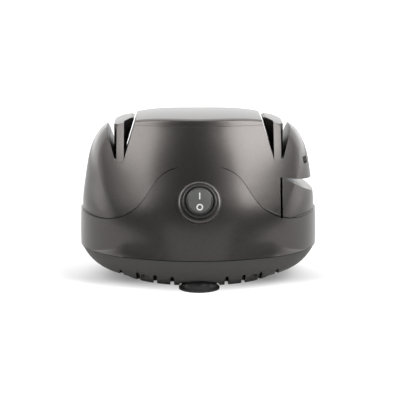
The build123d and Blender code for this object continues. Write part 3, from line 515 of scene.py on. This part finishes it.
# %% Which finish each piece has
FINISHES = {
    pearl_paint: [
        "upper_housing",
        "top_cover",
        "left_knife_guide",
        "right_knife_guide",
        "scissor_block",
    ],
    pan_abs: ["base_pan"],
    switch_nylon: ["switch_body", "switch_rocker", "cord_gland"],
    fan_nylon: ["cooling_fan"],
    polyester_box: ["suppressor_capacitor"],
    foot_rubber: [
        "front_foot",
        "rear_left_foot",
        "rear_right_foot",
        "left_motor_mounts",
        "right_motor_mounts",
    ],
    zinc_steel: [
        "housing_screws",
        "motor_bolts",
        "left_wheel_nut",
        "right_wheel_nut",
        "left_wheel_washer",
        "right_wheel_washer",
        "left_wheel_flange",
        "right_wheel_flange",
    ],
    ground_steel: ["motor_shaft"],
    stack_steel: ["motor_stator", "rotor_core"],
    cast_aluminium: ["left_motor_bracket", "right_motor_bracket"],
    coil_wire: ["field_coils", "rotor_winding"],
    bar_copper: ["commutator"],
    sintered_bronze: ["left_bearing_bush", "right_bearing_bush"],
    stamped_brass: ["brush_holders", "switch_terminals"],
    brush_carbon: ["carbon_brushes"],
    coarse_alumina: ["left_coarse_wheel"],
    fine_alumina: ["right_fine_wheel"],
}

dressed = set()
for finish, names in FINISHES.items():
    for name in names:
        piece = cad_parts[name]
        piece.data.materials.clear()
        piece.data.materials.append(finish)
        modifier = piece.modifiers.new("weld_and_smooth", "NODES")
        modifier.node_group = weld_and_smooth
        dressed.add(name)
print("dressed:", len(dressed), "bare:", sorted(set(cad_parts) - dressed))

# %% [markdown]
# ## The switch face
#
# The round rocker carries a grey disc with the marks I and O. On the real switch the
# disc is a thin layer moulded into the rocker and the marks are printed. A mask in the
# material could draw them, but its edges blur close up. So they are modelled as thin
# inlays that lie on the rocker's face and tip with it. The face plane
# leans back 27 degrees with the panel, and 10 degrees forward again because the side
# with the O is pressed in.

# %% The plane of the rocker's face
PANEL_LEAN = 27
ROCKER_TIP = 10
FACE_LEAN = math.radians(PANEL_LEAN - ROCKER_TIP)
FACE_HEIGHT = 4.2 * MM
SWITCH_CENTRE = Vector((0, -57.2, 61.3)) * MM
face_normal = Vector((0, -math.cos(FACE_LEAN), math.sin(FACE_LEAN)))
face_right = Vector((1, 0, 0))
face_up = face_normal.cross(face_right)
face_turn = Matrix((face_right, face_up, face_normal)).transposed().to_4x4()
face_place = Matrix.Translation(SWITCH_CENTRE + face_normal * FACE_HEIGHT) @ face_turn
print("the face looks up by", round(math.degrees(FACE_LEAN)), "degrees")

# %% Helpers that round edges and finish a piece
DOUBLES_DISTANCE = 0.001 * MM
MODELLED_SHARP_ANGLE = math.radians(35)


def round_edges(shape, edges, radius, segments):
    """Rounds edges of a bmesh, by a radius in the units that the bmesh is drawn in."""
    bmesh.ops.bevel(
        shape,
        geom=edges,
        offset=radius,
        offset_type="OFFSET",
        segments=segments,
        profile=0.5,
        affect="EDGES",
        material=-1,
    )


def finish_piece(shape, name, place, material, body):
    """Puts a bmesh in place, cleans it and makes it a piece that rides on a body."""
    bmesh.ops.transform(shape, matrix=place, verts=shape.verts)
    bmesh.ops.remove_doubles(shape, verts=shape.verts, dist=DOUBLES_DISTANCE)
    bmesh.ops.recalc_face_normals(shape, faces=shape.faces)
    mesh = bpy.data.meshes.new(name)
    shape.to_mesh(mesh)
    shape.free()
    mesh.shade_smooth()
    mesh.set_sharp_from_angle(angle=MODELLED_SHARP_ANGLE)
    mesh.materials.append(material)
    piece = bpy.data.objects.new(name, mesh)
    bpy.context.scene.collection.objects.link(piece)
    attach(piece, body)
    print(name, "has", len(mesh.polygons), "faces")


# %% The grey disc
DISC_RADIUS = 7.4 * MM
DISC_DEPTH = 0.14 * MM
DISC_ROUND = 0.08 * MM
disc = bmesh.new()
bmesh.ops.create_circle(disc, cap_ends=True, radius=DISC_RADIUS, segments=96)
lifted = bmesh.ops.extrude_face_region(disc, geom=disc.faces[:])
top_corners = [part for part in lifted["geom"] if isinstance(part, bmesh.types.BMVert)]
bmesh.ops.translate(disc, vec=(0, 0, DISC_DEPTH), verts=top_corners)
rim = [edge for edge in disc.edges if all(v.co.z > DISC_DEPTH / 2 for v in edge.verts)]
round_edges(disc, rim, radius=DISC_ROUND, segments=3)
finish_piece(disc, "rocker_face", face_place, rocker_disc_paint, "rocker")

# %% The mark I
INK_DEPTH = 0.05 * MM
INK_ROUND = 0.012 * MM
INK_HEIGHT = DISC_DEPTH + INK_DEPTH / 2
STROKE = 0.8 * MM
BAR_LENGTH = 4.3 * MM
BAR_RISE = 3.3 * MM
bar = bmesh.new()
bmesh.ops.create_cube(bar, size=1.0)
bmesh.ops.scale(bar, vec=(STROKE, BAR_LENGTH, INK_DEPTH), verts=bar.verts)
round_edges(bar, bar.edges[:], radius=INK_ROUND, segments=2)
bar_place = face_place @ Matrix.Translation((0, BAR_RISE, INK_HEIGHT))
finish_piece(bar, "mark_on", bar_place, mark_ink, "rocker")

# %% The mark O
# The stroke's section is a square: a circle of four points, turned by an eighth and
# flattened to the depth of the ink. Stood upright and spun, it draws the ring.
RING_RADIUS = 1.75 * MM
RING_RISE = -3.9 * MM
MIDDLE = (0, 0, 0)
ring = bmesh.new()
section = bmesh.ops.create_circle(ring, segments=4, radius=STROKE / 2)["verts"]
eighth = Matrix.Rotation(math.radians(45), 3, "Z")
bmesh.ops.rotate(ring, verts=section, cent=MIDDLE, matrix=eighth)
square = math.sqrt(2)
bmesh.ops.scale(ring, vec=(square, square * INK_DEPTH / STROKE, 1), verts=section)
upright = Matrix.Rotation(math.radians(90), 3, "X")
bmesh.ops.rotate(ring, verts=section, cent=MIDDLE, matrix=upright)
bmesh.ops.translate(ring, verts=section, vec=(RING_RADIUS, 0, 0))
bmesh.ops.spin(
    ring,
    geom=ring.verts[:] + ring.edges[:],
    cent=MIDDLE,
    axis=(0, 0, 1),
    angle=math.tau,
    steps=64,
    use_merge=True,
)
ring_place = face_place @ Matrix.Translation((0, RING_RISE, INK_HEIGHT))
finish_piece(ring, "mark_off", ring_place, mark_ink, "rocker")

# %% [markdown]
# ## Cheeks of the knife guides
#
# Over the wheel each guide flares towards the cover until only a blade's width is left.
# The flare is a sloping plate that leans with the flank of the slot. A block is cut by
# one plane for each face of the plate, which keeps every face flat, and its upper edges
# get a round as on a moulding. It is drawn in millimetres for the right side, and the
# left one is its mirror image.

# %% The faces of a cheek
STATION = 51.75  # the middle plane of the grinding wheel
LEAN = math.tan(math.radians(17))  # how far a flank moves sideways over its height
FLANK_HEIGHT = 85  # where the places of both flanks are measured
SLOT_FLANK = 50.2
GUIDE_FLANK = 52.2
HALF_LENGTH = 21
END_SLANT = (-11, 8.8)
NOSE = 43.1
BOTTOM = 86
CREST = 1000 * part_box("left_knife_guide")[1][2]
CROWN = (45, CREST - 0.15)
CROWN_RISE = -0.22
SHOULDER = 9
SHOULDER_FALL = 0.12

# Each face is a point on it and the direction in which it looks.
CHEEK_FACES = [
    ((SLOT_FLANK, 0, FLANK_HEIGHT), (-1, 0, -LEAN)),
    ((GUIDE_FLANK, 0, FLANK_HEIGHT), (1, 0, LEAN)),
    ((STATION, -HALF_LENGTH, 0), (END_SLANT[0], -END_SLANT[1], 0)),
    ((STATION, HALF_LENGTH, 0), (END_SLANT[0], END_SLANT[1], 0)),
    ((NOSE, 0, 0), (-1, 0, 0)),
    ((0, 0, BOTTOM), (0, 0, -1)),
    ((CROWN[0], 0, CROWN[1]), (CROWN_RISE, 0, 1)),
    ((CROWN[0], -SHOULDER, CROWN[1]), (CROWN_RISE, -SHOULDER_FALL, 1)),
    ((CROWN[0], SHOULDER, CROWN[1]), (CROWN_RISE, SHOULDER_FALL, 1)),
]
print("a cheek has", len(CHEEK_FACES), "faces under", round(CREST, 1), "mm")

# %% Cheeks that narrow the inner slots
BLOCK = 60.0
BLOCK_HEIGHT = 100
UPPER_PART = 3
CHEEK_ROUND = 0.5


def guide_cheek(name, side):
    """The plate on a guide's inner flank, cut out of a block by planes."""
    cheek = bmesh.new()
    bmesh.ops.create_cube(cheek, size=BLOCK)
    bmesh.ops.translate(cheek, verts=cheek.verts, vec=(STATION, 0, BLOCK_HEIGHT))
    for point, outwards in CHEEK_FACES:
        bmesh.ops.bisect_plane(
            cheek,
            geom=cheek.verts[:] + cheek.edges[:] + cheek.faces[:],
            plane_co=point,
            plane_no=outwards,
            clear_outer=True,
        )
        border = [edge for edge in cheek.edges if edge.is_boundary]
        if border:
            bmesh.ops.contextual_create(cheek, geom=border)
    upper = [
        edge for edge in cheek.edges if all(v.co.z > CREST - UPPER_PART for v in edge.verts)
    ]
    round_edges(cheek, upper, radius=CHEEK_ROUND, segments=3)
    to_metres = Matrix.Diagonal((side * MM, MM, MM, 1))
    finish_piece(cheek, name, to_metres, pearl_paint, "housing")


guide_cheek("left_guide_cheek", -1)
guide_cheek("right_guide_cheek", 1)

# %% [markdown]
# ## The floor
#
# The floor is a sheet of white studio paper. Paper is matt, and its fibres give it a
# barely uneven tint. A floor as bright as the eye expects would need more light than
# the object bears, so a faint glow lifts it for the camera alone: more in front of the
# object and far behind it than at its sides, where the soft shadow lies.

# %% The sheet
FLOOR_WIDTH = 60.0
floor_shape = bmesh.new()
bmesh.ops.create_grid(floor_shape, x_segments=1, y_segments=1, size=FLOOR_WIDTH / 2)
floor_mesh = bpy.data.meshes.new("floor")
floor_shape.to_mesh(floor_mesh)
floor_shape.free()
floor = bpy.data.objects.new("floor", floor_mesh)
bpy.context.scene.collection.objects.link(floor)
print("the floor is", FLOOR_WIDTH, "m wide")

# %% Its paper
floor_paper, tree, shader, place = start_material(
    "white_studio_paper",
    Roughness=0.9,
    Specular_IOR_Level=0.1,
    Emission_Color=WHITE,
)
noise = add_node(tree, "ShaderNodeTexNoise", {"Vector": place, "Scale": 60.0})
tint = add_node(
    tree,
    "ShaderNodeMix",
    {0: noise.outputs["Fac"], 6: linear("#bebebe"), 7: linear("#c3c3c3")},
    data_type="RGBA",
)
tree.links.new(tint.outputs[2], shader.inputs["Base Color"])
floor.data.materials.append(floor_paper)
print("made", floor_paper.name)

# %% Its glow for the camera
depth = add_node(tree, "ShaderNodeSeparateXYZ", {"Vector": place}).outputs["Y"]
in_front = add_node(
    tree,
    "ShaderNodeMapRange",
    {"Value": depth, "From Min": -0.01, "From Max": -0.05, "To Min": 0.2, "To Max": 0.75},
    interpolation_type="SMOOTHSTEP",
)
far_behind = add_node(
    tree,
    "ShaderNodeMapRange",
    {"Value": depth, "From Min": 0.1, "From Max": 0.5, "To Max": 0.6},
    interpolation_type="SMOOTHSTEP",
)
glow = add_node(
    tree,
    "ShaderNodeMath",
    {0: in_front.outputs["Result"], 1: far_behind.outputs["Result"]},
    operation="MAXIMUM",
)
path = add_node(tree, "ShaderNodeLightPath")
lift = add_node(
    tree,
    "ShaderNodeMath",
    {0: path.outputs["Is Camera Ray"], 1: glow.outputs[0]},
    operation="MULTIPLY",
)
tree.links.new(lift.outputs[0], shader.inputs["Emission Strength"])
print("the paper glows for the camera alone")

# %% [markdown]
# ## The surround
#
# A glossy object shows the room around it. An image of a studio could stand round it,
# but a few ramps over the direction are easier to adjust. This room is white at the
# back, dark behind the camera, and brighter overhead than at the height of the table.
# Low white walls stand at both sides: the wings of the housing mirror them, and the
# flat top looks over them. The camera itself sees plain white.

# %% Brightness by direction
surround = bpy.data.worlds.new("studio_surround")
bpy.context.scene.world = surround
surround.use_nodes = True
tree = surround.node_tree
tree.nodes.clear()
generated = add_node(tree, "ShaderNodeTexCoord").outputs["Generated"]
direction = add_node(tree, "ShaderNodeSeparateXYZ", {"Vector": generated}).outputs
towards_back = add_node(
    tree,
    "ShaderNodeMapRange",
    {
        "Value": direction["Y"],
        "From Min": -0.5,
        "From Max": 0.15,
        "To Min": 0.05,
        "To Max": 1.7,
    },
    interpolation_type="SMOOTHSTEP",
)
towards_top = add_node(
    tree,
    "ShaderNodeMapRange",
    {
        "Value": direction["Z"],
        "From Min": 0.0,
        "From Max": 0.75,
        "To Min": 0.8,
        "To Max": 1.15,
    },
)
open_room = add_node(
    tree,
    "ShaderNodeMath",
    {0: towards_back.outputs["Result"], 1: towards_top.outputs["Result"]},
    operation="MULTIPLY",
)
print("made", surround.name)

# %% Low walls at both sides
sideways = add_node(tree, "ShaderNodeMath", {0: direction["X"]}, operation="ABSOLUTE")
towards_side = add_node(
    tree,
    "ShaderNodeMapRange",
    {"Value": sideways.outputs[0], "From Min": 0.15, "From Max": 0.55, "To Max": 0.9},
    interpolation_type="SMOOTHSTEP",
)
under_wall_top = add_node(
    tree,
    "ShaderNodeMapRange",
    {
        "Value": direction["Z"],
        "From Min": 0.1,
        "From Max": 0.3,
        "To Min": 1.0,
        "To Max": 0.0,
    },
    interpolation_type="SMOOTHSTEP",
)
walls = add_node(
    tree,
    "ShaderNodeMath",
    {0: towards_side.outputs["Result"], 1: under_wall_top.outputs["Result"], 2: 1.0},
    operation="MULTIPLY_ADD",
)
room = add_node(
    tree,
    "ShaderNodeMath",
    {0: open_room.outputs[0], 1: walls.outputs[0]},
    operation="MULTIPLY",
)
print("added the walls")

# %% Plain white for the camera
path = add_node(tree, "ShaderNodeLightPath")
seen = add_node(
    tree,
    "ShaderNodeMix",
    {0: path.outputs["Is Camera Ray"], 2: room.outputs[0], 3: 1.0},
    data_type="FLOAT",
)
light = add_node(
    tree, "ShaderNodeBackground", {"Color": WHITE, "Strength": seen.outputs[0]}
)
add_node(tree, "ShaderNodeOutputWorld", {"Surface": light.outputs["Background"]})
print("the surround is white to the camera")

# %% [markdown]
# ## The lamps
#
# A dark glossy object is lit by what it mirrors. Two softboxes stand in front, to the
# left and to the right, and each draws a broad pale shape on the dome. The gap between
# them stays dark and draws the band down the middle. A third softbox hangs overhead for
# the top cover, and a weak low strip lifts the band under the switch.

# %% The softboxes
BODY_MIDDLE = (0, 0, 0.06)


def softbox(name, position, width, height, radiance):
    """A rectangular lamp of a given brightness that faces the object's middle."""
    lamp = bpy.data.lights.new(name, "AREA")
    lamp.shape = "RECTANGLE"
    lamp.size = width
    lamp.size_y = height
    lamp.energy = radiance * math.pi * width * height
    holder = bpy.data.objects.new(name, lamp)
    holder.location = position
    aim = Vector(BODY_MIDDLE) - Vector(position)
    holder.rotation_euler = aim.to_track_quat("-Z", "Y").to_euler()
    holder.visible_camera = False
    bpy.context.scene.collection.objects.link(holder)
    print(name, "gives", round(lamp.energy, 1), "W")


softbox("left_softbox", (-0.72, -0.56, 0.86), width=0.6, height=0.75, radiance=5.6)
softbox("right_softbox", (0.68, -0.58, 0.86), width=0.75, height=0.75, radiance=7.6)
softbox("overhead_softbox", (0, 0.35, 1.4), width=1.3, height=0.8, radiance=1.2)
softbox("low_strip", (0, -1.7, 0.3), width=1.5, height=0.35, radiance=0.9)

# %% [markdown]
# ## The camera
#
# A product camera stands far off with a long lens, so that the dome isn't stretched.
# It is one metre away here, 10.7 degrees above the table and one degree to the left,
# and its 132 mm lens frames 0.27 m. The focal length is given in pixels of a frame that
# is 400 pixels wide, and the sensor's width turns it into millimetres.

# %% Camera
CAMERA_DISTANCE = 1.0
CAMERA_LIFT = math.radians(10.7)
CAMERA_SIDE = math.radians(-1.0)
CAMERA_AIM = Vector((1.23, 0, 51.7)) * MM
SENSOR_WIDTH = 36.0
FOCAL_PIXELS = 1466
FRAME_PIXELS = 400
back = Vector(
    (
        math.sin(CAMERA_SIDE) * math.cos(CAMERA_LIFT),
        -math.cos(CAMERA_SIDE) * math.cos(CAMERA_LIFT),
        math.sin(CAMERA_LIFT),
    )
)
camera_data = bpy.data.cameras.new("product_camera")
camera_data.sensor_width = SENSOR_WIDTH
camera_data.lens = SENSOR_WIDTH * FOCAL_PIXELS / FRAME_PIXELS
camera = bpy.data.objects.new("product_camera", camera_data)
camera.location = CAMERA_AIM + back * CAMERA_DISTANCE
camera.rotation_euler = (-back).to_track_quat("-Z", "Y").to_euler()
bpy.context.scene.collection.objects.link(camera)
bpy.context.scene.camera = camera
bpy.context.scene.view_settings.view_transform = "Standard"
print("lens:", round(camera_data.lens, 1), "mm")

# %% Finish
bpy.context.view_layer.update()
